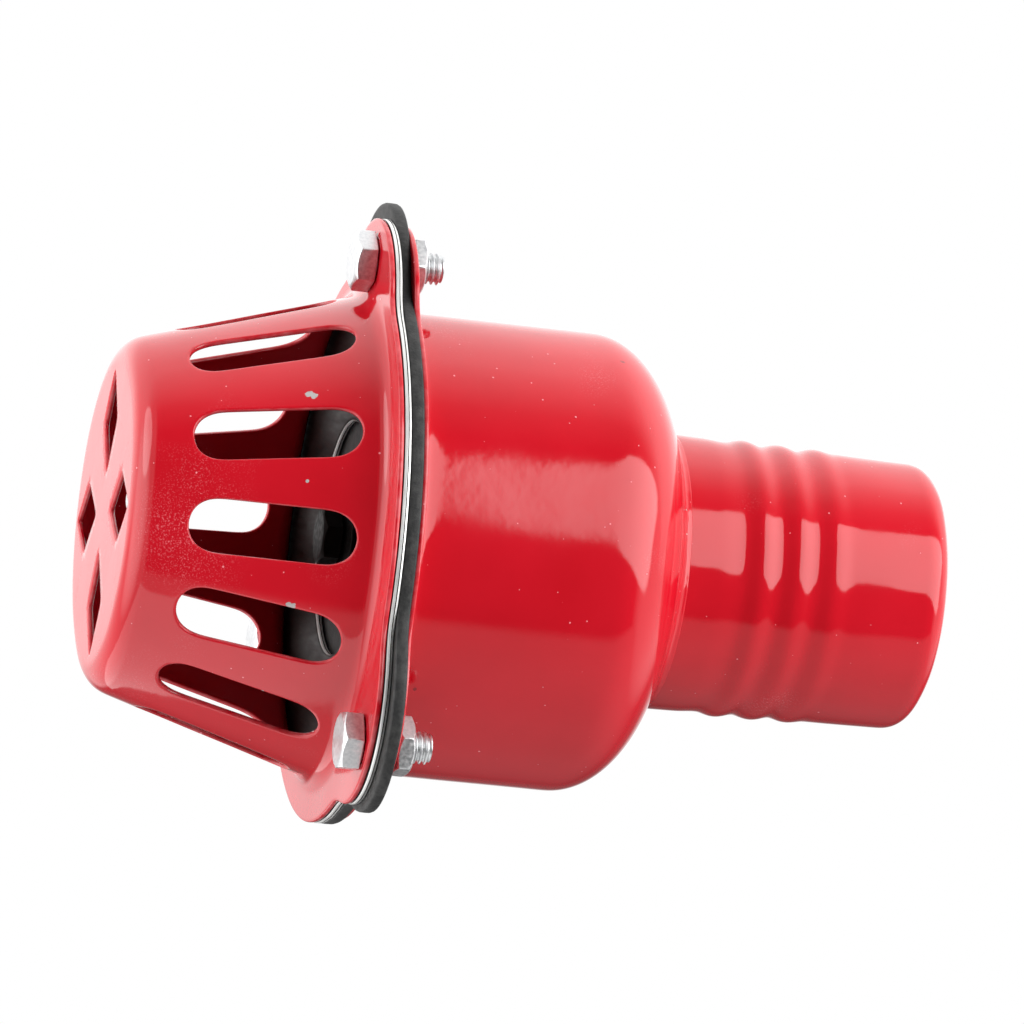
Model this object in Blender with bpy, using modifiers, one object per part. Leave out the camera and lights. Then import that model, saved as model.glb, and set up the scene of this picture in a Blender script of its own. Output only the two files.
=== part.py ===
"""Foot valve for the lower end of a pump's suction hose.

A pressed-steel strainer, a steel seat plate, a rubber gasket with its hinged flap, a
bell-shaped body and a beaded hose tail, held together by three bolts through the ears
of the flanges. Metres, +Z up. The valve stands on the flat end of its strainer, with
its axis on Z and the hose tail on top. Water runs from the slots up to the tail.
"""

import math

import bmesh
import bpy

# Clearances
GAP = 0.0003  # between pieces that touch in the real valve
CUT_OVER = 0.004  # how far a cutter runs past the face that it cuts

# Pressed sheet and the flange that all the layers share
SHEET = 0.0010
RIM_R = 0.0518
FLANGE_X = 0.0014  # middle of the flanges, off the axis towards the flap's hinge
RIM_LEAST = 0.0030  # flat that the rim leaves beyond the bends of the strainer and the bell
BOLTS_X = 0.0020  # middle of the bolt circle
BOLT_OUTSET = 0.0021  # bolt circle beyond the rim
EAR_R = 0.0209  # each ear is a broad lobe
EAR_INSET = 0.0134  # from a bolt in to the middle of its ear's curve
EAR_BLEND_R = 0.0140
EAR_COUNT = 3
EAR_AZIMUTH = math.radians(69.0)

# Strainer
STRAINER_HEIGHT = 0.0450
END_FLAT_R = 0.0280
END_CORNER_R = 0.0055
CONE_ANGLE = math.radians(16.6)
STRAINER_FILLET_R = 0.0025
SLOT_WIDTH = 0.0099
SLOT_Z0 = 0.0098
SLOT_LENGTH = 0.0293
SLOT_FIRST = math.radians(-90.0)
SLOT_TURNS = (0, 27, 58, 88, 118, 147, 175, 209, 242, 274, 307, 334)  # degrees, as punched one by one
DIAMOND_COUNT = 4
DIAMOND_CENTRE_R = 0.0170
DIAMOND_LONG = 0.0192
DIAMOND_WIDE = 0.0130
DIAMOND_AZIMUTH = math.radians(-5.0)

# Seat plate, gasket and flap
PLATE_THICK = 0.0011
PORT_R = 0.0219
PORT_X = 0.0
RUBBER_THICK = 0.0018
RUBBER_EAR_OUT = 0.0028  # the rubber's ears stand this far out of the flanges
RUBBER_EAR_TURNS = (0, -8, -1)  # degrees that each of them was cut off its bolt
FLAP_OVERLAP = 0.0040  # rubber beyond the port's edge
HINGE_REACH = 0.0061  # from the flap's round edge to its bending line
TONGUE_HALF = 0.0100
GASKET_LEDGE = 0.0020  # rubber that shows inside the bell's wall
FLAP_R = PORT_R + FLAP_OVERLAP
HINGE_X = PORT_X + FLAP_R + HINGE_REACH

# Steel on the flap
WEIGHT_INSET = 0.0040  # weight plate inside the flap's edge
WEIGHT_THICK = 0.0030
WASHER_INSET = 0.0109  # lower washer inside the port's edge
WASHER_THICK = 0.0015
EDGE_CHAMFER = 0.0004
WEIGHT_R = FLAP_R - WEIGHT_INSET
WASHER_R = PORT_R - WASHER_INSET

# Hexagon bolts and nuts, all of one size
SHANK_R = 0.0030
HEX_FLATS = 0.0100
HEAD_HEIGHT = 0.0038
HEAD_FACE_INSET = 0.0003  # round bearing face under a head, inside its flats
HEAD_FACE_RISE = 0.0005
HEAD_TURNS = (33, 0, 16)  # degrees that each head was left turned at
NUT_TURNS = (47, 22, 4)
NUT_HEIGHT = 0.0032
HEAD_CLEAR = 0.0012  # from the strainer's wall to the nearest corner of a head
THREAD_OUT = 0.0036  # thread that shows past a flange nut
FLAP_THREAD_OUT = 0.0015
HOLE_R = SHANK_R + GAP
HEX_CORNER_R = HEX_FLATS / 2 / math.cos(math.pi / 6)

# Body bell
BELL_R = 0.0431
BELL_RIM_INSET = 0.0008  # its flange is cut a little smaller than the strainer's
BELL_FILLET_R = 0.0025
BELL_STRAIGHT = 0.0395  # from the flange's lower face to the start of the shoulder
SHOULDER_RISE = 0.0163
SHOULDER_DEPTH = 0.0238

# Hose tail and its weld
TAIL_ROOT_R = 0.0260
TAIL_END_R = 0.0251
TAIL_WALL = 0.0012
TAIL_INSIDE = 0.0030  # how far the tail reaches into the bell
TAIL_LENGTH = 0.0526  # from the bell's mouth to the tail's end
LIP_R = 0.0045
LIP_FLAT = 0.0007
BEAD_COUNT = 3
BEAD_FIRST = 0.0150  # lowest crest above the bell's mouth
BEAD_PITCH = 0.0070
BEAD_WIDTH = 0.0058
BEAD_HEIGHT = 0.0005
WELD_R = 0.0008

# Levels of the clamped stack
PLATE_Z0 = STRAINER_HEIGHT + GAP
PLATE_Z1 = PLATE_Z0 + PLATE_THICK
RUBBER_Z0 = PLATE_Z1 + GAP
RUBBER_Z1 = RUBBER_Z0 + RUBBER_THICK
BELL_Z0 = RUBBER_Z1 + GAP
BELL_FLANGE_Z1 = BELL_Z0 + SHEET
SHOULDER_Z0 = BELL_Z0 + BELL_STRAIGHT
NECK_R = TAIL_ROOT_R + GAP
PIVOT = (HINGE_X, 0.0, RUBBER_Z1)

# Where the strainer's cone ends, and a rim and a bolt circle that clear the cone and the bell
CONE_FOOT = (END_FLAT_R + END_CORNER_R * math.cos(CONE_ANGLE), END_CORNER_R * (1 - math.sin(CONE_ANGLE)))
BEND_Z = STRAINER_HEIGHT - SHEET - STRAINER_FILLET_R
CONE_TOP_Z = BEND_Z + STRAINER_FILLET_R * math.sin(CONE_ANGLE)
CONE_TOP_R = CONE_FOOT[0] + (CONE_TOP_Z - CONE_FOOT[1]) * math.tan(CONE_ANGLE)
HEX_REACH = HEX_CORNER_R + BOLTS_X  # from the bolt circle to the corners on the ear nearest the axis
FLANGE_R = max(
    RIM_R,
    CONE_TOP_R + STRAINER_FILLET_R + FLANGE_X + RIM_LEAST,
    BELL_R + BELL_FILLET_R + FLANGE_X + RIM_LEAST,
)
BOLT_CIRCLE_R = max(
    FLANGE_R + BOLT_OUTSET,
    CONE_TOP_R + HEAD_CLEAR + HEX_REACH,
    BELL_R + BELL_FILLET_R + HEX_REACH,
)
EAR_REACH = BOLT_CIRCLE_R - EAR_INSET  # from the flange's middle to the middle of an ear's curve
BLANK_R = FLANGE_X + EAR_REACH + EAR_R + CUT_OVER  # flange before its outline is cut

TURN_STEPS = 44
SMALL_STEPS = 24
DISC_STEPS = 32


def clear_scene():
    for thing in list(bpy.data.objects):
        bpy.data.objects.remove(thing, do_unlink=True)


def new_collection(name):
    made = bpy.data.collections.new(name)
    bpy.context.scene.collection.children.link(made)
    return made


clear_scene()
PARTS = new_collection("foot_valve")
CUTTERS = new_collection("cutters")


def principled(name, colour, metallic, roughness):
    made = bpy.data.materials.new(name)
    made.use_nodes = True
    shader = made.node_tree.nodes["Principled BSDF"]
    shader.inputs["Base Color"].default_value = (*colour, 1.0)
    shader.inputs["Metallic"].default_value = metallic
    shader.inputs["Roughness"].default_value = roughness
    made.diffuse_color = (*colour, 1.0)
    return made


def red_paint(name):
    return principled(name, (0.55, 0.012, 0.022), 0.0, 0.25)


def bare_steel(name):
    return principled(name, (0.62, 0.63, 0.64), 1.0, 0.35)


def black_rubber(name):
    return principled(name, (0.022, 0.022, 0.023), 0.0, 0.7)


def place(thing, mat=None):
    """A part with its own material, or a hidden cutter."""
    if mat is None:
        CUTTERS.objects.link(thing)
        thing.hide_render = True
        thing.display_type = "WIRE"
    else:
        PARTS.objects.link(thing)
        thing.data.materials.append(mat)
    return thing


def lathe(name, profile, mat=None, closed=False, steps=TURN_STEPS, at=(0.0, 0.0)):
    """Turns (radius, height) points round a Z axis. They run up the inside, down the outside."""
    mesh = bpy.data.meshes.new(name)
    last = len(profile) if closed else len(profile) - 1
    edges = [(i, (i + 1) % len(profile)) for i in range(last)]
    mesh.from_pydata([(r, 0.0, z) for r, z in profile], edges, [])
    thing = place(bpy.data.objects.new(name, mesh), mat)
    thing.location = (at[0], at[1], 0.0)
    screw = thing.modifiers.new("turn", "SCREW")
    screw.axis = "Z"
    screw.angle = 2 * math.pi
    screw.steps = screw.render_steps = steps
    screw.use_merge_vertices = True
    screw.merge_threshold = 1e-5
    screw.use_smooth_shade = False
    return thing


def prism(name, outline, z0, z1, mat=None):
    """An outline of (x, y) points, counter-clockwise, made solid from z0 to z1."""
    shape = bmesh.new()
    face = shape.faces.new([shape.verts.new((x, y, z0)) for x, y in outline])
    raised = bmesh.ops.extrude_face_region(shape, geom=[face])
    tops = [v for v in raised["geom"] if isinstance(v, bmesh.types.BMVert)]
    bmesh.ops.translate(shape, verts=tops, vec=(0.0, 0.0, z1 - z0))
    bmesh.ops.recalc_face_normals(shape, faces=shape.faces)
    mesh = bpy.data.meshes.new(name)
    shape.to_mesh(mesh)
    shape.free()
    return place(bpy.data.objects.new(name, mesh), mat)


def joined(name, shapes):
    """Several cutters as one object."""
    whole = bmesh.new()
    for shape in shapes:
        whole.from_mesh(shape.data)
        bpy.data.objects.remove(shape, do_unlink=True)
    mesh = bpy.data.meshes.new(name)
    whole.to_mesh(mesh)
    whole.free()
    return place(bpy.data.objects.new(name, mesh))


def boolean(thing, other, operation="DIFFERENCE"):
    step = thing.modifiers.new(operation.lower(), "BOOLEAN")
    step.object = other
    step.operation = operation
    step.solver = "EXACT"


def polar(radius, angle, centre=(0.0, 0.0)):
    return centre[0] + radius * math.cos(angle), centre[1] + radius * math.sin(angle)


def arc(centre, radius, start, end, count):
    """count + 1 points from the angle start to the angle end."""
    return [polar(radius, start + (end - start) * i / count, centre) for i in range(count + 1)]


def ear_azimuth(index):
    return EAR_AZIMUTH + 2 * math.pi * index / EAR_COUNT


def bolt_spot(index):
    return polar(BOLT_CIRCLE_R, ear_azimuth(index), (BOLTS_X, 0.0))


def flange_outline(grow=0.0, ear_out=0.0, ear_turns=(0,) * EAR_COUNT):
    """The rim's circle with a broad ear at each bolt, blended by hollow fillets."""
    centre = (FLANGE_X, 0.0)
    rim, ear, blend = FLANGE_R + grow, EAR_R + grow, EAR_BLEND_R - grow
    reach, to_rim, to_ear = EAR_REACH + ear_out, rim + blend, ear + blend
    side = math.acos((to_rim**2 + reach**2 - to_ear**2) / (2 * to_rim * reach))
    middles = [ear_azimuth(i) + math.radians(turn) for i, turn in enumerate(ear_turns)]
    points = []
    for index, middle in enumerate(middles):
        heart = polar(reach, middle, centre)
        before, after = polar(to_rim, middle - side, centre), polar(to_rim, middle + side, centre)
        into = math.atan2(before[1] - heart[1], before[0] - heart[0])
        out = math.atan2(after[1] - heart[1], after[0] - heart[0])
        sweep = (out - into) % (2 * math.pi)
        bend = (into - middle + side) % (2 * math.pi) - 2 * math.pi
        points += arc(before, blend, middle - side + math.pi, middle - side + math.pi + bend, 4)
        points += arc(heart, ear, into, into + sweep, 14)[1:]
        points += arc(after, blend, out + math.pi, out + math.pi + bend, 4)[1:]
        start, end = middle + side, middles[(index + 1) % EAR_COUNT] - side
        points += arc(centre, rim, start, start + (end - start) % (2 * math.pi), 12)[1:-1]
    return points


def round_cutter(name, radius, centre, z0, z1):
    return prism(name, arc(centre, radius, 0.0, 2 * math.pi, SMALL_STEPS)[:-1], z0, z1)


def bolt_holes(name, z0, z1):
    spots = [bolt_spot(i) for i in range(EAR_COUNT)]
    holes = [round_cutter(f"{name}_{i}", HOLE_R, spot, z0, z1) for i, spot in enumerate(spots)]
    return joined(name, holes)


def strainer_profile():
    """One sheet from the middle of the flat end, up the cone and out along the flange."""
    bend_r = CONE_TOP_R + STRAINER_FILLET_R * math.cos(CONE_ANGLE)
    low, high = (END_FLAT_R, END_CORNER_R), (bend_r, BEND_Z)
    down, up = -math.pi / 2, math.pi / 2
    inner = [(0.0, SHEET)]
    inner += arc(low, END_CORNER_R - SHEET, down, -CONE_ANGLE, 5)
    inner += arc(high, STRAINER_FILLET_R + SHEET, math.pi - CONE_ANGLE, up, 6)
    outer = arc(high, STRAINER_FILLET_R, up, math.pi - CONE_ANGLE, 6)
    outer += arc(low, END_CORNER_R, -CONE_ANGLE, down, 5)
    outer += [(0.0, 0.0)]
    edge = [(BLANK_R, STRAINER_HEIGHT), (BLANK_R, STRAINER_HEIGHT - SHEET)]
    return inner + edge + outer


def slot_cutter(index, turn):
    """A round-ended bar that points out from the axis."""
    half = SLOT_WIDTH / 2
    low, high = (0.0, SLOT_Z0 + half), (0.0, SLOT_Z0 + SLOT_LENGTH - half)
    flat = arc(high, half, 0.0, math.pi, 8) + arc(low, half, math.pi, 2 * math.pi, 8)
    bar = prism(f"slot_{index}", flat, END_FLAT_R / 2, BLANK_R)
    for vertex in bar.data.vertices:
        across, height, out = vertex.co
        vertex.co = (
            out * math.cos(turn) - across * math.sin(turn),
            out * math.sin(turn) + across * math.cos(turn),
            height,
        )
    return facing_out(bar)


def facing_out(thing):
    shape = bmesh.new()
    shape.from_mesh(thing.data)
    bmesh.ops.recalc_face_normals(shape, faces=shape.faces)
    shape.to_mesh(thing.data)
    shape.free()
    return thing


def diamond_cutter(index):
    turn = DIAMOND_AZIMUTH + 2 * math.pi * index / DIAMOND_COUNT
    middle = polar(DIAMOND_CENTRE_R, turn)
    reach = (DIAMOND_LONG / 2, DIAMOND_WIDE / 2)
    corners = [polar(reach[i % 2], turn + math.pi / 2 * i, middle) for i in range(4)]
    return prism(f"diamond_{index}", corners, -CUT_OVER, SHEET + CUT_OVER)


def make_strainer():
    strainer = lathe("strainer", strainer_profile(), red_paint("strainer_paint"))
    outline = prism("strainer_outline", flange_outline(), -CUT_OVER, BELL_FLANGE_Z1)
    boolean(strainer, outline, "INTERSECT")
    turns = [SLOT_FIRST - math.radians(turn) for turn in SLOT_TURNS]
    slots = [slot_cutter(i, turn) for i, turn in enumerate(turns)]
    boolean(strainer, joined("strainer_slots", slots))
    diamonds = [diamond_cutter(i) for i in range(DIAMOND_COUNT)]
    boolean(strainer, joined("strainer_diamonds", diamonds))
    low = STRAINER_HEIGHT - SHEET - CUT_OVER
    boolean(strainer, bolt_holes("strainer_holes", low, STRAINER_HEIGHT + CUT_OVER))


def make_seat_plate():
    plate = prism("seat_plate", flange_outline(), PLATE_Z0, PLATE_Z1, bare_steel("plate_steel"))
    low, high = PLATE_Z0 - CUT_OVER, PLATE_Z1 + CUT_OVER
    port = arc((PORT_X, 0.0), PORT_R, 0.0, 2 * math.pi, TURN_STEPS)[:-1]
    boolean(plate, prism("plate_port", port, low, high))
    boolean(plate, bolt_holes("plate_holes", low, high))


def make_gasket():
    rubber = black_rubber("gasket_rubber")
    outline = flange_outline(ear_out=RUBBER_EAR_OUT, ear_turns=RUBBER_EAR_TURNS)
    gasket = prism("gasket", outline, RUBBER_Z0, RUBBER_Z1, rubber)
    low, high = RUBBER_Z0 - CUT_OVER, RUBBER_Z1 + CUT_OVER
    inner = BELL_R - SHEET - GASKET_LEDGE
    side = math.asin(TONGUE_HALF / inner)
    edge = HINGE_X + GAP / 2
    window = arc((0.0, 0.0), inner, side, 2 * math.pi - side, 40)
    window += [(edge, -TONGUE_HALF), (edge, TONGUE_HALF)]
    boolean(gasket, prism("gasket_window", window, low, high))
    boolean(gasket, bolt_holes("gasket_holes", low, high))


def on_pivot(thing, pivot):
    """Hangs a part on the flap's bending line, with its shape left where it is."""
    for vertex in thing.data.vertices:
        vertex.co.z -= PIVOT[2]
    thing.location.x -= PIVOT[0]
    thing.parent = pivot
    return thing


def disc_profile(inner, outer, z0, z1, chamfer):
    return [
        (inner, z0),
        (inner, z1),
        (outer - chamfer, z1),
        (outer, z1 - chamfer),
        (outer, z0 + chamfer),
        (outer - chamfer, z0),
    ]


def hex_outline(azimuth):
    return arc((0.0, 0.0), HEX_CORNER_R, azimuth, azimuth + 2 * math.pi, 6)[:-1]


def hexagonal(thing, azimuth, z0, z1, pivot=None):
    """Cuts a turned head or nut to a hexagon, which leaves its corners rounded off."""
    block = prism(thing.name + "_hex", hex_outline(azimuth), z0 - CUT_OVER, z1 + CUT_OVER)
    block.location = thing.location
    boolean(thing, block, "INTERSECT")
    if pivot:
        block.parent = pivot
    return thing


def bolt(name, at, azimuth, head_z, end_z, pivot=None):
    """A hexagon bolt that points up: head_z is the height of the face that clamps."""
    low = head_z - HEAD_HEIGHT
    ease = HEX_CORNER_R - HEX_FLATS / 2
    face = HEX_FLATS / 2 - HEAD_FACE_INSET
    tip = SHANK_R / 6
    profile = [
        (0.0, end_z),
        (SHANK_R - tip, end_z),
        (SHANK_R, end_z - tip),
        (SHANK_R, head_z),
        (face, head_z),
        (face, head_z - HEAD_FACE_RISE),
        (HEX_CORNER_R, head_z - HEAD_FACE_RISE),
        (HEX_CORNER_R, low + ease / 2),
        (HEX_FLATS / 2, low),
        (0.0, low),
    ]
    made = lathe(name, profile, bare_steel(name + "_zinc"), steps=SMALL_STEPS, at=at)
    if pivot:
        on_pivot(made, pivot)
        head_z, end_z, low = head_z - PIVOT[2], end_z - PIVOT[2], low - PIVOT[2]
    return hexagonal(made, azimuth, low, end_z, pivot)


def nut(name, at, azimuth, z0, pivot=None):
    z1 = z0 + NUT_HEIGHT
    ease = (HEX_CORNER_R - HEX_FLATS / 2) / 2
    profile = [
        (HOLE_R, z0),
        (HOLE_R, z1),
        (HEX_FLATS / 2, z1),
        (HEX_CORNER_R, z1 - ease),
        (HEX_CORNER_R, z0 + ease),
        (HEX_FLATS / 2, z0),
    ]
    zinc = bare_steel(name + "_zinc")
    made = lathe(name, profile, zinc, closed=True, steps=SMALL_STEPS, at=at)
    if pivot:
        on_pivot(made, pivot)
        z0, z1 = z0 - PIVOT[2], z1 - PIVOT[2]
    return hexagonal(made, azimuth, z0, z1, pivot)


def make_flap():
    """The moving clack: rubber between a weight plate and a washer, on one screw."""
    pivot = bpy.data.objects.new("flap_pivot", None)
    PARTS.objects.link(pivot)
    pivot.location = PIVOT
    at = (PORT_X, 0.0)
    side = math.asin(TONGUE_HALF / FLAP_R)
    edge = HINGE_X - GAP / 2
    outline = arc(at, FLAP_R, side, 2 * math.pi - side, 44)
    outline += [(edge, -TONGUE_HALF), (edge, TONGUE_HALF)]
    flap = prism("flap", outline, RUBBER_Z0, RUBBER_Z1, black_rubber("flap_rubber"))
    hole = round_cutter("flap_hole", HOLE_R, at, RUBBER_Z0 - CUT_OVER, RUBBER_Z1 + CUT_OVER)
    boolean(flap, hole)
    for thing in (flap, hole):
        on_pivot(thing, pivot)

    weight_z = RUBBER_Z1 + GAP
    weight = disc_profile(HOLE_R, WEIGHT_R, weight_z, weight_z + WEIGHT_THICK, EDGE_CHAMFER)
    steel = bare_steel("weight_steel")
    on_pivot(lathe("flap_weight", weight, steel, True, DISC_STEPS, at), pivot)

    washer_z = RUBBER_Z0 - GAP - WASHER_THICK
    washer = disc_profile(HOLE_R, WASHER_R, washer_z, washer_z + WASHER_THICK, EDGE_CHAMFER)
    steel = bare_steel("washer_steel")
    on_pivot(lathe("flap_washer", washer, steel, True, DISC_STEPS, at), pivot)

    nut_z = weight_z + WEIGHT_THICK + GAP
    end_z = nut_z + NUT_HEIGHT + FLAP_THREAD_OUT
    bolt("flap_screw", at, 0.2, washer_z - GAP, end_z, pivot)
    nut("flap_nut", at, 0.5, nut_z, pivot)


def shoulder_points(inset, count):
    """The shoulder's quarter ellipse, from the straight wall up to the neck."""
    rise, depth = SHOULDER_RISE - inset, SHOULDER_DEPTH - inset
    middle = BELL_R - SHOULDER_DEPTH
    end = math.acos((NECK_R - middle) / depth)
    turns = [end * i / count for i in range(count + 1)]
    return [(middle + depth * math.cos(t), SHOULDER_Z0 + rise * math.sin(t)) for t in turns]


def make_bell():
    bend = (BELL_R + BELL_FILLET_R, BELL_FLANGE_Z1 + BELL_FILLET_R)
    down, back = -math.pi / 2, -math.pi
    inner = arc(bend, BELL_FILLET_R + SHEET, down, back, 5) + shoulder_points(SHEET, 7)
    outer = shoulder_points(0.0, 7)[::-1] + arc(bend, BELL_FILLET_R, back, down, 5)
    edge = [(BLANK_R, BELL_FLANGE_Z1), (BLANK_R, BELL_Z0)]
    bell = lathe("body_bell", inner + outer + edge, red_paint("bell_paint"), closed=True)
    top = SHOULDER_Z0 + SHOULDER_RISE + CUT_OVER
    outline = flange_outline(-BELL_RIM_INSET)
    boolean(bell, prism("bell_outline", outline, BELL_Z0 - CUT_OVER, top), "INTERSECT")
    boolean(bell, bolt_holes("bell_holes", BELL_Z0 - CUT_OVER, BELL_FLANGE_Z1 + CUT_OVER))


MOUTH_Z = shoulder_points(0.0, 1)[-1][1]  # outer edge of the bell's mouth
TAIL_Z0 = MOUTH_Z - TAIL_INSIDE
TAIL_Z1 = MOUTH_Z + TAIL_LENGTH


def tail_radius(z):
    """The outside of the tail without its beads: straight at the root, then a slow taper."""
    along = min(max((z - MOUTH_Z) / TAIL_LENGTH, 0.0), 1.0)
    return TAIL_ROOT_R + (TAIL_END_R - TAIL_ROOT_R) * along


def make_tail():
    bend_z = TAIL_Z1 - LIP_R
    bend = (tail_radius(bend_z) - LIP_R, bend_z)
    inner = [(tail_radius(TAIL_Z0) - TAIL_WALL, TAIL_Z0)]
    inner += arc(bend, LIP_R - TAIL_WALL, 0.0, math.pi / 2, 4)
    lip = [(bend[0] - LIP_FLAT, TAIL_Z1 - TAIL_WALL), (bend[0] - LIP_FLAT, TAIL_Z1)]
    outer = arc(bend, LIP_R, math.pi / 2, 0.0, 6)
    for index in reversed(range(BEAD_COUNT)):
        crest = MOUTH_Z + BEAD_FIRST + BEAD_PITCH * index
        for step in range(5):
            share = 1 - step / 2
            z = crest + share * BEAD_WIDTH / 2
            swell = BEAD_HEIGHT * math.cos(share * math.pi / 2) ** 2
            outer.append((tail_radius(z) + swell, z))
    outer.append((tail_radius(MOUTH_Z), MOUTH_Z))
    outer.append((tail_radius(TAIL_Z0), TAIL_Z0))
    lathe("hose_tail", inner + lip + outer, red_paint("tail_paint"), closed=True)


def make_weld():
    """The bead that joins the tail to the bell, lying in the corner between them."""
    centre_r = TAIL_ROOT_R + GAP + WELD_R
    across = (centre_r - BELL_R + SHOULDER_DEPTH) / SHOULDER_DEPTH
    under = SHOULDER_Z0 + SHOULDER_RISE * math.sqrt(1 - across**2)
    lean = math.hypot(1.0, SHOULDER_RISE * across / SHOULDER_DEPTH / math.sqrt(1 - across**2))
    centre = (centre_r, under + (WELD_R + GAP) * lean)
    ring = arc(centre, WELD_R, 2 * math.pi, 0.0, 8)[:-1]
    lathe("weld_bead", ring, red_paint("weld_paint"), closed=True)


def make_bolts():
    head_z = STRAINER_HEIGHT - SHEET - GAP
    nut_z = BELL_FLANGE_Z1 + GAP
    for index in range(EAR_COUNT):
        at, middle, name = bolt_spot(index), ear_azimuth(index), index + 1
        head_turn = middle + math.radians(HEAD_TURNS[index])
        nut_turn = middle + math.radians(NUT_TURNS[index])
        bolt(f"bolt_{name}", at, head_turn, head_z, nut_z + NUT_HEIGHT + THREAD_OUT)
        nut(f"nut_{name}", at, nut_turn, nut_z)


make_strainer()
make_seat_plate()
make_gasket()
make_flap()
make_bell()
make_tail()
make_weld()
make_bolts()
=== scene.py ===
# %% [markdown]
# # Foot valve
# The solids of this valve are packed as a fixed frame. Here they get the look of the real thing:
# pressed steel under glossy red enamel, zinc-plated bolts, a bare steel plate and black rubber.
# The frame comes in first, and its box is kept, because the finished pieces have to stay inside it.

# %% Load the frame
import math

import bmesh
import bpy
from mathutils import Matrix, Vector, noise


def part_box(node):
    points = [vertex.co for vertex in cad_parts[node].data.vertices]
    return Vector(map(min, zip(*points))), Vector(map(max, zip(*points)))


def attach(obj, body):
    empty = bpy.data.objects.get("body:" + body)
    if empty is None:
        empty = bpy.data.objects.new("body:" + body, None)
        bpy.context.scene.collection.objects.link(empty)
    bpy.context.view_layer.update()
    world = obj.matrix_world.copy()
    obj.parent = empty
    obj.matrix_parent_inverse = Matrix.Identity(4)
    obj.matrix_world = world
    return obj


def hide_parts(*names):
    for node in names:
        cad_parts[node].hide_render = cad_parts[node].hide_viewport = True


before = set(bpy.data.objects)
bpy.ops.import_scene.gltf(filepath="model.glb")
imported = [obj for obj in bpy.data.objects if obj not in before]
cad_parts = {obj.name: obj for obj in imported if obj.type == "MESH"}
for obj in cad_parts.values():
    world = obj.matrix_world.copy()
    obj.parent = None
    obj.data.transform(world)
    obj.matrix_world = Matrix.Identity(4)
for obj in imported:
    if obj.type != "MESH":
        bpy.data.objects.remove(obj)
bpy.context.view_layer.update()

print("nodes in the frame:", len(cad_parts))

# %% [markdown]
# The pieces are drawn again at a finer grain than the solids, so their main sizes are written once
# here, in metres, in the same frame: the axis is Z, the strainer's flat end lies at height 0, and the
# hose tail points up. The clamped layers take their heights from the frame itself.

# %% Sizes
MM = 0.001
SHEET = 1.0 * MM
RIM_R, EAR_R, EAR_REACH, EAR_BLEND_R = 51.8 * MM, 20.9 * MM, 40.5 * MM, 14.0 * MM
FLANGE_X, BOLTS_X, BOLT_CIRCLE_R = 1.4 * MM, 2.0 * MM, 53.9 * MM
EAR_TURNS = (69, 189, 309)
PORT_R = 21.9 * MM
STRAINER_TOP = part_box("strainer")[1].z
PLATE_Z = [corner.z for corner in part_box("seat_plate")]
RUBBER_Z = [corner.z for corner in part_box("gasket")]
BELL_Z0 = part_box("body_bell")[0].z
BELL_FLANGE_Z1 = BELL_Z0 + SHEET
TAIL_Z = [corner.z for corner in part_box("hose_tail")]
print("flange layers from", round(STRAINER_TOP - SHEET, 4), "to", round(BELL_FLANGE_Z1, 4))

# %% [markdown]
# Every colour is written as the sRGB hex value that a colour picker shows. Blender's shaders work in
# linear light, so one function turns a hex value into that. A second small function adds a shader node,
# sets its properties and either links or fills its inputs, so that each material reads as a short list.

# %% Colour and node helpers
def linear(code):
    parts = [int(code[i : i + 2], 16) / 255 for i in (1, 3, 5)]
    return tuple([p / 12.92 if p < 0.04045 else ((p + 0.055) / 1.055) ** 2.4 for p in parts] + [1.0])


def add(tree, kind, inputs=None, **settings):
    node = tree.nodes.new(kind)
    for name, value in settings.items():
        setattr(node, name, value)
    for name, value in (inputs or {}).items():
        if isinstance(value, bpy.types.NodeSocket):
            tree.links.new(value, node.inputs[name])
        else:
            node.inputs[name].default_value = value
    return node


def new_material(name):
    made = bpy.data.materials.new(name)
    made.use_nodes = True
    tree = made.node_tree
    tree.nodes.clear()
    shader = add(tree, "ShaderNodeBsdfPrincipled")
    add(tree, "ShaderNodeOutputMaterial", {"Surface": shader.outputs[0]})
    return made, tree, shader


print("pure red is", linear("#FF0000"))

# %% [markdown]
# The shell is pressed from steel and sprayed with gloss enamel. Sprayed enamel is never flat: it has a
# fine orange peel about 2 mm across, slow sags about 14 mm long that bend the reflections, and nibs of
# dust caught while it was wet. Dry overspray leaves a pale bloom in patches. Where the punch left sharp
# edges the coat is thin and shows pale, and that pale line is partly a painted highlight along the edges.
# In a few places it is chipped to the steel or has run into a dark drop, and three pale specks on the weld
# are painted glints. Those marks are placed one by one, each as a small ball around a point on the surface.

# %% Red enamel
PEEL, SAG, PEEL_DEPTH = 2.0 * MM, 14 * MM, 0.008 * MM
NIB_APART, NIB_SIZE = 2.6 * MM, 0.095  # the largest nib is given as a share of the distance between two
CLOUD, PATCH, POWDER = 30 * MM, 22 * MM, 0.3 * MM  # shades of red, patches of overspray and their grains
# GRIT also breaks up the pale line painted along edges, which is partly a painted highlight
GRIT, SMEAR = 3.0 * MM, 9 * MM  # gaps in the thin coat on edges, and changes of gloss
OVERSPRAY, SPRAY_REACH, SPRAY_CORE = Vector((-4.0, -34.5, 10.0)) * MM, 24 * MM, 6 * MM
CHIPS_AND_WELD_GLINTS = (  # each mark is a point on the surface and a radius, in millimetres
    ((-25.5, -32.2, 29.8), 0.75),
    ((-25.1, -32.6, 30.7), 0.75),
    ((-9.7, -39.8, 29.7), 0.35),
    ((12.8, -38.8, 28.9), 0.6),
    ((12.8, -38.7, 29.8), 0.6),
    ((29.2, -28.0, 27.9), 0.45),
    # the last three are painted glints: pale specks where light catches the weld
    ((-11.9, -23.8, 104.2), 0.22),
    ((-7.5, -25.5, 104.5), 0.16),
    ((4.9, -26.2, 104.7), 0.22),
)
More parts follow.
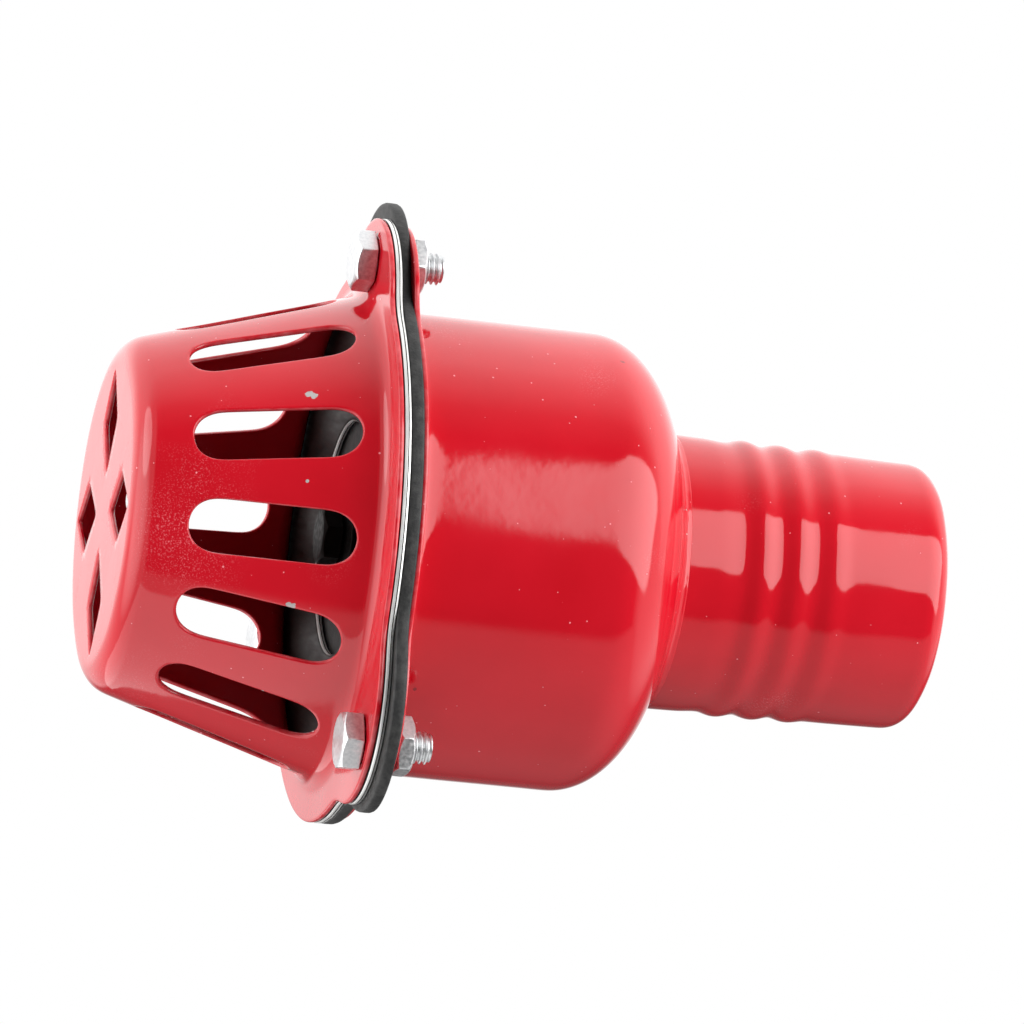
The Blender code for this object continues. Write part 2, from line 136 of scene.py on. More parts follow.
RUNS = (
    ((-42.4, -7.6, 68.3), 0.6),
    ((-38.0, -20.4, 90.2), 0.55),
    ((25.7, -34.6, 54.6), 0.4),
    ((-37.7, -21.1, 37.3), 0.55),
)
RAGGED = 0.7 * MM


def marks(tree, place, spots):
    """One where the surface comes within a spot's radius, and nothing elsewhere."""
    ragged = add(tree, "ShaderNodeTexNoise", {"Vector": place, "Scale": 1 / RAGGED, "Detail": 2.0})
    total = 0.0
    for point, radius in spots:
        gap = add(tree, "ShaderNodeVectorMath", {0: place, 1: Vector(point) * MM}, operation="DISTANCE")
        inputs = {0: ragged.outputs["Fac"], 1: radius * MM, 2: gap.outputs["Value"]}
        rough = add(tree, "ShaderNodeMath", inputs, operation="MULTIPLY_ADD")
        inputs = {"Value": rough.outputs[0], "From Min": 1.5 * radius * MM, "From Max": 1.35 * radius * MM}
        spot = add(tree, "ShaderNodeMapRange", inputs)
        total = add(tree, "ShaderNodeMath", {0: spot.outputs[0], 1: total}, operation="MAXIMUM").outputs[0]
    return total


def red_enamel():
    made, tree, shader = new_material("gloss_red_enamel_on_pressed_steel")
    place = add(tree, "ShaderNodeTexCoord").outputs["Object"]
    shader.inputs["IOR"].default_value = 1.5

    cloud = add(tree, "ShaderNodeTexNoise", {"Vector": place, "Scale": 1 / CLOUD, "Detail": 3.0})
    tone = add(tree, "ShaderNodeValToRGB", {"Fac": cloud.outputs["Fac"]})
    deep, fair = tone.color_ramp.elements
    deep.position, deep.color = 0.35, linear("#B60D1C")
    fair.position, fair.color = 0.65, linear("#C01222")

    speck = add(tree, "ShaderNodeTexVoronoi", {"Vector": place, "Scale": 1 / NIB_APART, "Randomness": 1.0})
    nib_size = add(tree, "ShaderNodeMath", {0: speck.outputs["Color"], 1: NIB_SIZE}, operation="MULTIPLY")
    inputs = {0: nib_size.outputs[0], 1: speck.outputs["Distance"]}
    near = add(tree, "ShaderNodeMath", inputs, operation="SUBTRACT")
    nib = add(tree, "ShaderNodeMapRange", {"Value": near.outputs[0], "From Min": 0.0, "From Max": 0.02})

    patch = add(tree, "ShaderNodeTexNoise", {"Vector": place, "Scale": 1 / PATCH, "Detail": 2.0})
    far = add(tree, "ShaderNodeVectorMath", {0: place, 1: OVERSPRAY}, operation="DISTANCE")
    inputs = {"Value": far.outputs["Value"], "From Min": SPRAY_REACH, "From Max": SPRAY_CORE}
    sprayed = add(tree, "ShaderNodeMapRange", inputs | {"To Min": -0.12, "To Max": 0.2})
    patch = add(tree, "ShaderNodeMath", {0: patch.outputs["Fac"], 1: sprayed.outputs[0]}, operation="ADD")
    patchy = add(tree, "ShaderNodeMapRange", {"Value": patch.outputs[0], "From Min": 0.5, "From Max": 0.75})
    powder = add(tree, "ShaderNodeTexNoise", {"Vector": place, "Scale": 1 / POWDER, "Detail": 2.0})
    inputs = {"Value": powder.outputs["Fac"], "From Min": 0.54, "From Max": 0.72}
    grain = add(tree, "ShaderNodeMapRange", inputs)
    bloom = add(tree, "ShaderNodeMath", {0: patchy.outputs[0], 1: grain.outputs[0]}, operation="MULTIPLY")
    bloom = add(tree, "ShaderNodeMath", {0: bloom.outputs[0], 1: 0.42}, operation="MULTIPLY")

    edge = add(tree, "ShaderNodeAttribute", attribute_name="edge")
    grit = add(tree, "ShaderNodeTexNoise", {"Vector": place, "Scale": 1 / GRIT, "Detail": 4.0})
    edge_wear_and_highlight = add(tree, "ShaderNodeMath", {0: edge.outputs["Fac"], 1: grit.outputs["Fac"]}, operation="MULTIPLY")
    # the pale line along open edges: a thin coat, and partly a painted highlight
    inputs = {"Value": edge_wear_and_highlight.outputs[0], "From Min": 0.35, "From Max": 0.75, "To Max": 0.35}
    thin_coat_and_edge_highlight = add(tree, "ShaderNodeMapRange", inputs)

    # chips to bare steel, and three painted glints on the weld in the same grey
    chips_and_glints, run = marks(tree, place, CHIPS_AND_WELD_GLINTS), marks(tree, place, RUNS)
    colour = tone.outputs[0]
    for factor, code in (
        (bloom.outputs[0], "#EE97A0"),
        (thin_coat_and_edge_highlight.outputs[0], "#D98A8E"),
        (nib.outputs[0], "#E88790"),
        (run, "#8A0714"),
        (chips_and_glints, "#A9A5A3"),
    ):
        inputs = {"Factor": factor, 6: colour, 7: linear(code)}
        colour = add(tree, "ShaderNodeMix", inputs, data_type="RGBA").outputs[2]
    tree.links.new(colour, shader.inputs["Base Color"])

    smear = add(tree, "ShaderNodeTexNoise", {"Vector": place, "Scale": 1 / SMEAR, "Detail": 4.0})
    inputs = {"Value": smear.outputs["Fac"], "From Min": 0.3, "From Max": 0.7, "To Min": 0.05, "To Max": 0.11}
    gloss = add(tree, "ShaderNodeMapRange", inputs)
    dulled = add(tree, "ShaderNodeMath", {0: chips_and_glints, 1: 0.4, 2: gloss.outputs[0]}, operation="MULTIPLY_ADD")
    tree.links.new(dulled.outputs[0], shader.inputs["Roughness"])

    peel = add(tree, "ShaderNodeTexNoise", {"Vector": place, "Scale": 1 / PEEL, "Detail": 1.0})
    sag = add(tree, "ShaderNodeTexNoise", {"Vector": place, "Scale": 1 / SAG, "Detail": 1.0})
    height = peel.outputs["Fac"]
    for relief, times in ((sag.outputs["Fac"], 3.0), (nib.outputs[0], 5.0), (chips_and_glints, -10.0)):
        inputs = {0: relief, 1: times, 2: height}
        height = add(tree, "ShaderNodeMath", inputs, operation="MULTIPLY_ADD").outputs[0]
    bump = add(tree, "ShaderNodeBump", {"Height": height, "Distance": PEEL_DEPTH, "Strength": 1.0})
    tree.links.new(bump.outputs[0], shader.inputs["Normal"])
    return made


RED = red_enamel()
print("made", RED.name)

# %% [markdown]
# Bolts and nuts are steel with bright zinc plate: a pale blue-grey metal that is a little cloudy, with
# fine tool marks. The seat plate's steel faces are painted near black, as the shade they lie in inside the
# valve, and only its sheared edge is bright, with a dark line painted along it as the shade of the gap
# beside the strainer's flange. The flap's discs and screw are painted near black as well, for the shade
# inside the valve where they hardly show. Metals keep the default IOR, and their colour is that of
# their reflections.

# %% Zinc plate, and steel painted dark as shade
METAL_DEPTH = 0.005 * MM


def rough_metal(name, dark, light, cut, grain, streak, rough, gap_shade=None):
    made, tree, shader = new_material(name)
    place = add(tree, "ShaderNodeTexCoord").outputs["Object"]
    shader.inputs["Metallic"].default_value = 1.0
    stretched = add(tree, "ShaderNodeMapping", {"Vector": place, "Scale": streak})
    inputs = {"Vector": stretched.outputs[0], "Scale": 1 / grain, "Detail": 5.0}
    cloud = add(tree, "ShaderNodeTexNoise", inputs)
    inputs = {"Factor": cloud.outputs["Fac"], 6: linear(dark), 7: linear(light)}
    tone = add(tree, "ShaderNodeMix", inputs, data_type="RGBA")
    edge = add(tree, "ShaderNodeAttribute", attribute_name="edge")
    bare = add(tree, "ShaderNodeMapRange", {"Value": edge.outputs["Fac"], "From Min": 0.6, "From Max": 0.9})
    inputs = {"Factor": bare.outputs[0], 6: tone.outputs[2], 7: linear(cut)}
    sheared = add(tree, "ShaderNodeMix", inputs, data_type="RGBA")
    # where one is given, a dark band is painted across the cut edge as the shade of a gap
    if gap_shade:
        height = add(tree, "ShaderNodeSeparateXYZ", {0: place}).outputs["Z"]
        line = add(tree, "ShaderNodeMath", {0: height, 1: gap_shade[0], 2: gap_shade[1]}, operation="COMPARE")
        inputs = {"Factor": line.outputs[0], 6: sheared.outputs[2], 7: linear(dark)}
        sheared = add(tree, "ShaderNodeMix", inputs, data_type="RGBA")
    tree.links.new(sheared.outputs[2], shader.inputs["Base Color"])
    inputs = {"Value": cloud.outputs["Fac"], "From Min": 0.3, "From Max": 0.7}
    gloss = add(tree, "ShaderNodeMapRange", inputs | {"To Min": rough[0], "To Max": rough[1]})
    tree.links.new(gloss.outputs[0], shader.inputs["Roughness"])
    inputs = {"Height": cloud.outputs["Fac"], "Distance": METAL_DEPTH, "Strength": 1.0}
    bump = add(tree, "ShaderNodeBump", inputs)
    tree.links.new(bump.outputs[0], shader.inputs["Normal"])
    return made


EVEN, ROLLED = (1.0, 1.0, 1.0), (1.0, 0.15, 1.0)  # the same every way, or drawn out along Y by rolling
# a dark line painted along the plate's edge: the shade of the gap beside the strainer's flange
GAP_SHADE_LINE = (STRAINER_TOP + 0.85 * MM, 0.10 * MM)  # its height in the plate's edge, and its half width
ZINC = rough_metal(
    "bright_zinc_plate_on_steel", "#AEB1B4", "#FAFAFA", "#F0F1F2", 0.6 * MM, EVEN, (0.30, 0.50)
)
# the plate's faces are painted near black as shade inside the valve; only its cut edge is bright
STEEL_PAINTED_DARK_AS_SHADE = rough_metal(
    "steel_sheet_painted_dark_as_shade", "#241E1D", "#3C3534", "#F0F0EE", 1.5 * MM, ROLLED, (0.42, 0.60), GAP_SHADE_LINE
)
# near black, painted as the shade inside the valve where the flap's discs and screw sit
BLACK_AS_PAINTED_SHADE = rough_metal("steel_painted_black_as_shade", "#141212", "#242120", "#3A3634", 1.0 * MM, EVEN, (0.45, 0.65))
print("made", ZINC.name, STEEL_PAINTED_DARK_AS_SHADE.name, "and", BLACK_AS_PAINTED_SHADE.name)

# %% [markdown]
# The gasket and the flap are cut from one sheet of black nitrile rubber. Rubber is dark grey rather than
# black, nearly matt, with a fine grain from the press and pale dust on its cut edges.

# %% Black rubber
DUST, PRESS_GRAIN, PRESS_DEPTH = 2.2 * MM, 0.5 * MM, 0.08 * MM


def black_rubber():
    made, tree, shader = new_material("black_nitrile_rubber_sheet")
    place = add(tree, "ShaderNodeTexCoord").outputs["Object"]
    inputs = {"Vector": place, "Scale": 1 / DUST, "Detail": 6.0, "Roughness": 0.7}
    dust = add(tree, "ShaderNodeTexNoise", inputs)
    tone = add(tree, "ShaderNodeValToRGB", {"Fac": dust.outputs["Fac"]})
    clean, dusty = tone.color_ramp.elements
    clean.position, clean.color = 0.4, linear("#0F0F0F")
    dusty.position, dusty.color = 0.75, linear("#393837")
    tree.links.new(tone.outputs[0], shader.inputs["Base Color"])
    shader.inputs["Roughness"].default_value = 0.62
    grain = add(tree, "ShaderNodeTexNoise", {"Vector": place, "Scale": 1 / PRESS_GRAIN, "Detail": 2.0})
    inputs = {"Height": grain.outputs["Fac"], "Distance": PRESS_DEPTH, "Strength": 1.0}
    bump = add(tree, "ShaderNodeBump", inputs)
    tree.links.new(bump.outputs[0], shader.inputs["Normal"])
    return made


RUBBER = black_rubber()
print("made", RUBBER.name)

# %% [markdown]
# Nearly every piece of the valve is round, so most start as a chain of points that is spun about the
# axis. A pressed shell is one such skin, and its thickness comes last, from a Solidify modifier. Before
# that, a narrow inset along each open edge tells the Subdivision Surface where the edge has to stay
# tight. The edge points are also marked, so that the enamel knows where it wears thin and where a pale
# line is painted along the edge, partly as a highlight.

# %% Turning and finishing helpers
def polar(radius, turn, z=0.0):
    return Vector((radius * math.cos(turn), radius * math.sin(turn), z))


def arc(centre, radius, start, end, count):
    turns = [math.radians(start + (end - start) * i / count) for i in range(count + 1)]
    return [(centre[0] + radius * math.cos(t), centre[1] + radius * math.sin(t)) for t in turns]


def between(start, end, count):
    run, rise = end[0] - start[0], end[1] - start[1]
    return [(start[0] + run * i / count, start[1] + rise * i / count) for i in range(1, count + 1)]


def turned(profile, steps, centre=(0.0, 0.0), closed=False, climb=0.0):
    """Spins a chain of (radius, height) points. Each point keeps its number along the chain."""
    bm = bmesh.new()
    row = bm.verts.layers.int.new("row")
    chain = [bm.verts.new((centre[0] + r, centre[1], z)) for r, z in profile]
    for number, vert in enumerate(chain):
        vert[row] = number
    pairs = list(zip(chain, chain[1:])) + ([(chain[-1], chain[0])] if closed else [])
    edges = [bm.edges.new(pair) for pair in pairs]
    bmesh.ops.spin(
        bm,
        geom=chain + edges,
        cent=(*centre, 0.0),
        axis=(0, 0, 1),
        dvec=(0, 0, climb / steps),
        angle=2 * math.pi,
        steps=steps,
        use_merge=not climb,
    )
    bmesh.ops.remove_doubles(bm, verts=bm.verts, dist=0.002 * MM)
    return bm


def faces_out(bm, closed=False):
    bmesh.ops.recalc_face_normals(bm, faces=bm.faces)
    if not closed:
        lean = sum(f.calc_area() * f.normal.xy.dot(f.calc_center_median().xy) for f in bm.faces)
        if lean < 0:
            bmesh.ops.reverse_faces(bm, faces=bm.faces)


def punch(bm, faces, snap):
    """Takes faces out and moves the edge of the hole onto its true outline."""
    around = {v for f in faces for v in f.verts}
    bmesh.ops.delete(bm, geom=list(faces), context="FACES")
    around = {v for v in around if v.is_valid}
    for vert in around:
        vert.co = snap(vert.co)
    slivers = [f for f in bm.faces if all(v in around for v in f.verts)]
    bmesh.ops.delete(bm, geom=slivers, context="FACES")


def tight_edges(bm, width):
    bmesh.ops.inset_region(bm, faces=bm.faces[:], thickness=width, use_boundary=True, use_even_offset=False)
    edge = bm.verts.layers.float.new("edge")
    for vert in bm.verts:
        vert[edge] = 1.0 if vert.is_boundary else 0.0


def ripple(bm, height, length):
    """Moves the skin in and out a little, as pressing leaves it."""
    bm.normal_update()
    for vert in bm.verts:
        vert.co += vert.normal * height * noise.noise(vert.co / length)


def eased(bm, width):
    """Rounds every edge that is sharper than a spun surface has."""
    sharp = [e for e in bm.edges if e.is_manifold and e.calc_face_angle() > math.radians(24)]
    bmesh.ops.bevel(
        bm,
        geom=sharp,
        offset=width,
        offset_type="OFFSET",
        affect="EDGES",
        segments=2,
        profile=0.5,
        material=-1,
        clamp_overlap=True,
    )


def piece(name, bm, material, node, thick=0.0, smooth=1, body="housing"):
    mesh = bpy.data.meshes.new(name)
    bm.to_mesh(mesh)
    bm.free()
    mesh.shade_smooth()
    mesh.materials.append(material)
    made = bpy.data.objects.new(name, mesh)
    bpy.context.scene.collection.objects.link(made)
    if thick:
        wall = made.modifiers.new("wall", "SOLIDIFY")
        wall.thickness, wall.offset, wall.use_even_offset = thick, -1.0, True
    if smooth:
        fine = made.modifiers.new("fine", "SUBSURF")
        fine.levels = fine.render_levels = smooth
    else:
        flats = made.modifiers.new("flat faces", "WEIGHTED_NORMAL")
        flats.weight = 90
    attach(made, body)
    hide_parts(node)
    print(name, "has", len(mesh.polygons), "faces before its modifiers")


# %% [markdown]
# All four clamped layers share one outline: a circle with three broad ears, each blended into the rim by
# a hollow curve. Its middle lies a little off the valve's axis. As every layer is spun, the outline is
# needed as a distance for any direction, which is where a ray meets the ear, the hollow or the rim.

# %% Flange outline
HOLE_R, HOLE_STEP = 3.3 * MM, 0.6 * MM  # a bolt hole, and the least distance between two points of its edge


def bolt_place(index):
    return polar(BOLT_CIRCLE_R, math.radians(EAR_TURNS[index])) + Vector((BOLTS_X, 0.0, 0.0))


def rim_distance(turn, grow=0.0, ear_out=0.0, ear_turns=EAR_TURNS):
    rim, ear, blend = RIM_R + grow, EAR_R + grow, EAR_BLEND_R - grow
    reach, to_rim, to_ear = EAR_REACH + ear_out, rim + blend, ear + blend
    side = math.acos((to_rim**2 + reach**2 - to_ear**2) / (2 * to_rim * reach))
    touch = Vector((reach, 0.0, 0.0)).lerp(polar(to_rim, side), ear / to_ear)
    for ear_turn in ear_turns:
        off = abs((turn - math.radians(ear_turn) + math.pi) % (2 * math.pi) - math.pi)
        if off <= math.atan2(touch.y, touch.x):
            return reach * math.cos(off) + math.sqrt(ear**2 - (reach * math.sin(off)) ** 2)
        if off < side:
            gap = side - off
            return to_rim * math.cos(gap) - math.sqrt(blend**2 - (to_rim * math.sin(gap)) ** 2)
    return rim


def spread_flange(bm, first, last, inner, **outline):
    """Moves the rows from first to last out to the flange's outline, evenly spaced."""
    row = bm.verts.layers.int["row"]
    for vert in bm.verts:
        if first <= vert[row] <= last:
            turn = math.atan2(vert.co.y, vert.co.x)
            low, high = RIM_R * 0.5, RIM_R * 1.6
            for _ in range(30):
                middle = (low + high) / 2
                at = polar(middle, turn) - Vector((FLANGE_X, 0.0, 0.0))
                inside = at.length < rim_distance(math.atan2(at.y, at.x), **outline)
                low, high = (middle, high) if inside else (low, middle)
            share = (vert[row] - first) / (last - first)
            vert.co = polar(inner + (low - inner) * share, turn, vert.co.z)


def drill_bolt_holes(bm, radius):
    for index in range(3):
        bolt = bolt_place(index)
        inside = [f for f in bm.faces if (f.calc_center_median().xy - bolt.xy).length < radius]

        def on_circle(co):
            out = (co.xy - bolt.xy).normalized() * radius
            return Vector((bolt.x + out.x, bolt.y + out.y, co.z))

        punch(bm, inside, on_circle)
        ring = [v for v in bm.verts if v.is_boundary and abs((v.co.xy - bolt.xy).length - radius) < 0.05 * MM]
        bmesh.ops.remove_doubles(bm, verts=ring, dist=HOLE_STEP)


print("ear tip at", round(rim_distance(math.radians(189)) * 1000, 1), "mm")

# %% [markdown]
# The strainer is a cup pressed from one sheet: a flat end, a cone, and a flange. Its twelve slots were
# punched one after the other, so they are not quite evenly spaced. The skin is spun with fifteen columns
# of faces to each slot, so that a slot can later be punched out as whole faces.

# %% Strainer skin
CONE_DEGREES = 16.6
CONE = math.radians(CONE_DEGREES)
END_FILL_R, END_FLAT_R, END_CORNER_R, STRAINER_FILLET_R = 27.3 * MM, 28.0 * MM, 5.5 * MM, 3.2 * MM
FOOT = (END_FLAT_R + END_CORNER_R * math.cos(CONE), END_CORNER_R * (1 - math.sin(CONE)))
FILLET_Z = STRAINER_TOP - SHEET - STRAINER_FILLET_R
TOUCH_Z = FILLET_Z + STRAINER_FILLET_R * math.sin(CONE)
SLOT_R, SLOT_Z = 4.95 * MM, (9.8 * MM, 39.1 * MM)
SLOT_TURNS = sorted((270 - t) % 360 for t in (0, 27, 58, 88, 118, 147, 175, 209, 242, 274, 307, 334))
SLOT_COLUMNS, SLOT_SIDE = 15, 3.5  # columns to a slot, and columns from its middle to its side


def cone_radius(z):
    return FOOT[0] + (z - FOOT[1]) * math.tan(CONE)


def cone_point(z):
    return (cone_radius(z), z)


FILLET_AT = (cone_radius(TOUCH_Z) + STRAINER_FILLET_R * math.cos(CONE), FILLET_Z)
end_rows = [(END_FILL_R, 0.0)]
corner_rows = arc((END_FLAT_R, END_CORNER_R), END_CORNER_R, -90, -CONE_DEGREES, 5)
low_rows = between(FOOT, cone_point(SLOT_Z[0]), 3)
slot_rows = between(cone_point(SLOT_Z[0]), cone_point(SLOT_Z[1]), 15)
high_rows = between(cone_point(SLOT_Z[1]), cone_point(TOUCH_Z), 2)
bend_rows = arc(FILLET_AT, STRAINER_FILLET_R, 180 - CONE_DEGREES, 90, 4)[1:]
flange_rows = [(FILLET_AT[0] + i * MM, STRAINER_TOP - SHEET) for i in range(1, 6)]
skin_rows = end_rows + corner_rows + low_rows + slot_rows + high_rows + bend_rows + flange_rows
CONE_ROW = len(end_rows) + len(corner_rows) - 1
SLOT_ROWS = (CONE_ROW + len(low_rows), CONE_ROW + len(low_rows) + len(slot_rows))
COLUMNS = SLOT_COLUMNS * len(SLOT_TURNS)
strainer_bm = turned(skin_rows, COLUMNS)
print("strainer skin:", len(strainer_bm.faces), "faces in", len(skin_rows), "rows")

# %% [markdown]
# The columns are turned so that they run along the slots' sides. Each column's direction is worked out
# from its place within its slot. On the flat end the columns go back to even steps.

# %% Turn the columns to the slots
EVEN_START, EVEN_STEP = 15.0, 360 / COLUMNS  # degrees


def slot_bounds(slot):
    here, before, after = SLOT_TURNS[slot], SLOT_TURNS[slot - 1], SLOT_TURNS[(slot + 1) % len(SLOT_TURNS)]
    return here, ((here - before) % 360) / 2, ((after - here) % 360) / 2


def column_turn(column, radius):
    slot, place = divmod(column, SLOT_COLUMNS)
    middle, before, after = slot_bounds(slot)
    off = place - SLOT_COLUMNS / 2
    side = math.degrees(math.asin(SLOT_R / radius))
    if abs(off) <= SLOT_SIDE:
        return middle + side * off / SLOT_SIDE
    share = (abs(off) - SLOT_SIDE) / (SLOT_COLUMNS / 2 - SLOT_SIDE)
    return middle + math.copysign(side + ((after if off > 0 else before) - side) * share, off)


row = strainer_bm.verts.layers.int["row"]
column = strainer_bm.verts.layers.int.new("column")
for vert in strainer_bm.verts:
    vert[column] = round(math.degrees(math.atan2(vert.co.y, vert.co.x)) / EVEN_STEP) % COLUMNS
    out = vert.co.xy.length
    if out > MM:
        even = EVEN_STEP * vert[column] + EVEN_START
        turn = column_turn(vert[column], max(out, FOOT[0]))
        turn = even + (turn - even + 180) % 360 - 180
        share = min(max((vert[row] - len(end_rows) + 1) / len(corner_rows), 0.0), 1.0)
        vert.co = polar(out, math.radians(even + (turn - even) * share), vert.co.z)
spread_flange(strainer_bm, len(skin_rows) - 6, len(skin_rows) - 1, FILLET_AT[0])
print("columns turned to", len(SLOT_TURNS), "slots")

# %% [markdown]
# A slot is now a block of whole faces. They are taken out, and the edge of the hole is moved onto a slot
# with round ends. The bolt holes are made in the same way. The columns between the slots are then smoothed
# a little and put back on the cone, so that no face is much narrower than its neighbours.

# %% Punch the slots and the bolt holes
SLOT_FIRST, SLOT_WIDE = int(SLOT_COLUMNS / 2 - SLOT_SIDE), int(2 * SLOT_SIDE)


def face_cells(face):
    rows = [v[row] for v in face.verts]
    columns = sorted(v[column] for v in face.verts)
    return min(rows), columns[0] if columns[-1] - columns[0] < SLOT_COLUMNS else columns[-1]


cells = {face: face_cells(face) for face in strainer_bm.faces}
rows = range(*SLOT_ROWS)
for slot, middle in enumerate(SLOT_TURNS):
    columns = range(slot * SLOT_COLUMNS + SLOT_FIRST, slot * SLOT_COLUMNS + SLOT_FIRST + SLOT_WIDE)
    inside = [f for f, (r, c) in cells.items() if r in rows and c in columns]

    def on_slot(co, middle=math.radians(middle)):
        across = co.xy.length * math.sin(math.atan2(co.y, co.x) - middle)
        core = min(max(co.z, SLOT_Z[0] + SLOT_R), SLOT_Z[1] - SLOT_R)
        out = Vector((across, co.z - core)).normalized() * SLOT_R
        radius = cone_radius(core + out.y)
        return polar(radius, middle + math.asin(out.x / radius), core + out.y)

    punch(strainer_bm, inside, on_slot)

drill_bolt_holes(strainer_bm, HOLE_R)

loose = [v for v in strainer_bm.verts if not v.is_boundary and FOOT[1] < v.co.z < TOUCH_Z - MM]
for _ in range(3):
    bmesh.ops.smooth_vert(
        strainer_bm, verts=loose, factor=0.5, use_axis_x=True, use_axis_y=True, use_axis_z=True
    )
for vert in loose:
    vert.co = polar(cone_radius(vert.co.z), math.atan2(vert.co.y, vert.co.x), vert.co.z)
print("punched", len(SLOT_TURNS), "slots")

# %% [markdown]
# The flat end has four diamond holes, set in a cross. Each is a circle of four corners, scaled to the
# diamond's length and width. Filling the flat between the cup's lower edge and the four outlines leaves
# the holes open.

# %% Flat end with its diamonds
DIAMOND_R, DIAMOND_HALF, DIAMOND_TURN = 17.0 * MM, (9.6 * MM, 6.5 * MM), -5
end_edges = [e for e in strainer_bm.edges if e.is_boundary and all(v.co.z < 0.1 * MM for v in e.verts)]
for quarter in range(4):
    turn = Matrix.Rotation(math.radians(DIAMOND_TURN + 90 * quarter), 4, "Z")
    shape = turn @ Matrix.Translation((DIAMOND_R, 0.0, 0.0)) @ Matrix.Diagonal((*DIAMOND_HALF, 1.0, 1.0))
    diamond = bmesh.ops.create_circle(strainer_bm, cap_ends=False, segments=4, radius=1.0, matrix=shape)
    sides = list({e for v in diamond["verts"] for e in v.link_edges})
    split = bmesh.ops.subdivide_edges(strainer_bm, edges=sides, cuts=9)["geom_split"]
    end_edges += [g for g in split if isinstance(g, bmesh.types.BMEdge)]
bmesh.ops.triangle_fill(
    strainer_bm, use_beauty=True, use_dissolve=False, edges=list(set(end_edges)), normal=(0, 0, -1)
)
faces_out(strainer_bm)
ripple(strainer_bm, height=0.05 * MM, length=11 * MM)
tight_edges(strainer_bm, 0.4 * MM)
piece("strainer_cup", strainer_bm, RED, "strainer", thick=SHEET)

# %% [markdown]
# The bell is drawn from a flat blank, so it is one skin from the eared flange up the straight wall and
# over the rounded shoulder to the neck. Its flange was trimmed a little smaller than the strainer's.
# Drawing leaves faint waves in the wall, which show only in the reflections.

# %% Bell
BELL_R, BELL_FILLET_R = 43.1 * MM, 2.5 * MM
SHOULDER_Z0, SHOULDER_RISE, SHOULDER_DEPTH = BELL_Z0 + 39.5 * MM, 16.3 * MM, 23.8 * MM
NECK_R, SHOULDER_ROWS, BELL_RIM_IN = 26.3 * MM, 14, 0.8 * MM
shoulder_mid = BELL_R - SHOULDER_DEPTH
shoulder_end = math.acos((NECK_R - shoulder_mid) / SHOULDER_DEPTH)
fillet_at = (BELL_R + BELL_FILLET_R, BELL_FLANGE_Z1 + BELL_FILLET_R)
bell_rows = [(fillet_at[0] + (5 - i) * MM, BELL_FLANGE_Z1) for i in range(5)]
bell_rows += arc(fillet_at, BELL_FILLET_R, 270, 180, 5)
bell_rows += between(bell_rows[-1], (BELL_R, SHOULDER_Z0), 16)
for i in range(1, SHOULDER_ROWS + 1):
    turn = shoulder_end * i / SHOULDER_ROWS
    over = (SHOULDER_DEPTH * math.cos(turn), SHOULDER_RISE * math.sin(turn))
    bell_rows.append((shoulder_mid + over[0], SHOULDER_Z0 + over[1]))
MOUTH_Z = bell_rows[-1][1]
bell_bm = turned([(r, z) for r, z in reversed(bell_rows)], 180)
spread_flange(bell_bm, len(bell_rows) - 6, len(bell_rows) - 1, fillet_at[0], grow=-BELL_RIM_IN)
drill_bolt_holes(bell_bm, HOLE_R)
faces_out(bell_bm)
ripple(bell_bm, height=0.04 * MM, length=15 * MM)
tight_edges(bell_bm, 0.4 * MM)
piece("bell_shell", bell_bm, RED, "body_bell", thick=SHEET)

# %% [markdown]
# The tail is a short tube with three rolled beads that grip the hose, and its end is turned in to a
# rounded lip. Its wall is a little thicker than the sheet.

# %% Hose tail
TAIL_ROOT_R, TAIL_END_R, TAIL_WALL, LIP_R = 26.0 * MM, 25.1 * MM, 1.2 * MM, 4.5 * MM
BEAD_MID, BEAD_PITCH, BEAD_FADE = 22.8, 7.0, 4.5  # millimetres along the tail, from the bell's mouth
BEAD_CREST, BEAD_DROP = 0.45, -0.25  # millimetres out of the tube, and into it between the beads
TAIL_ROWS = 60


def tail_radius(z):
    along = min(max((z - MOUTH_Z) / (TAIL_Z[1] - MOUTH_Z), 0.0), 1.0)
    off = (z - MOUTH_Z) / MM - BEAD_MID
    low = BEAD_DROP if off < BEAD_PITCH else 0.0
    if abs(off) < 1.5 * BEAD_PITCH:
        swell = low + (BEAD_CREST - low) * (0.5 + 0.5 * math.cos(2 * math.pi * off / BEAD_PITCH))
    else:
        swell = low * (0.5 + 0.5 * math.cos(math.pi * min((abs(off) - 1.5 * BEAD_PITCH) / BEAD_FADE, 1.0)))
    return TAIL_ROOT_R + (TAIL_END_R - TAIL_ROOT_R) * along + swell * MM


lip_z = TAIL_Z[1] - LIP_R
lip_at = (tail_radius(lip_z) - LIP_R, lip_z)
tail_heights = [TAIL_Z[0] + (lip_z - TAIL_Z[0]) * i / TAIL_ROWS for i in range(TAIL_ROWS)]
tail_rows = [(tail_radius(z), z) for z in tail_heights]
tail_rows += arc(lip_at, LIP_R, 0, 90, 6) + [(lip_at[0] - 0.7 * MM, TAIL_Z[1])]
tail_bm = turned(tail_rows, 144)
faces_out(tail_bm)
ripple(tail_bm, height=0.10 * MM, length=11 * MM)
tight_edges(tail_bm, 0.35 * MM)
piece("tail_tube", tail_bm, RED, "hose_tail", thick=TAIL_WALL)

# %% [markdown]
# The tail is welded to the bell, and the enamel fills the corner to a smooth hollow. Its section is a
# curve from the shoulder to the tail, closed behind inside the walls, and the weld's ripples are pushed
# into it by noise at their size.

# %% Weld seam
WELD_LEG = 1.9 * MM


def shoulder_z(radius):
    return SHOULDER_Z0 + SHOULDER_RISE * math.sqrt(1 - ((radius - shoulder_mid) / SHOULDER_DEPTH) ** 2)


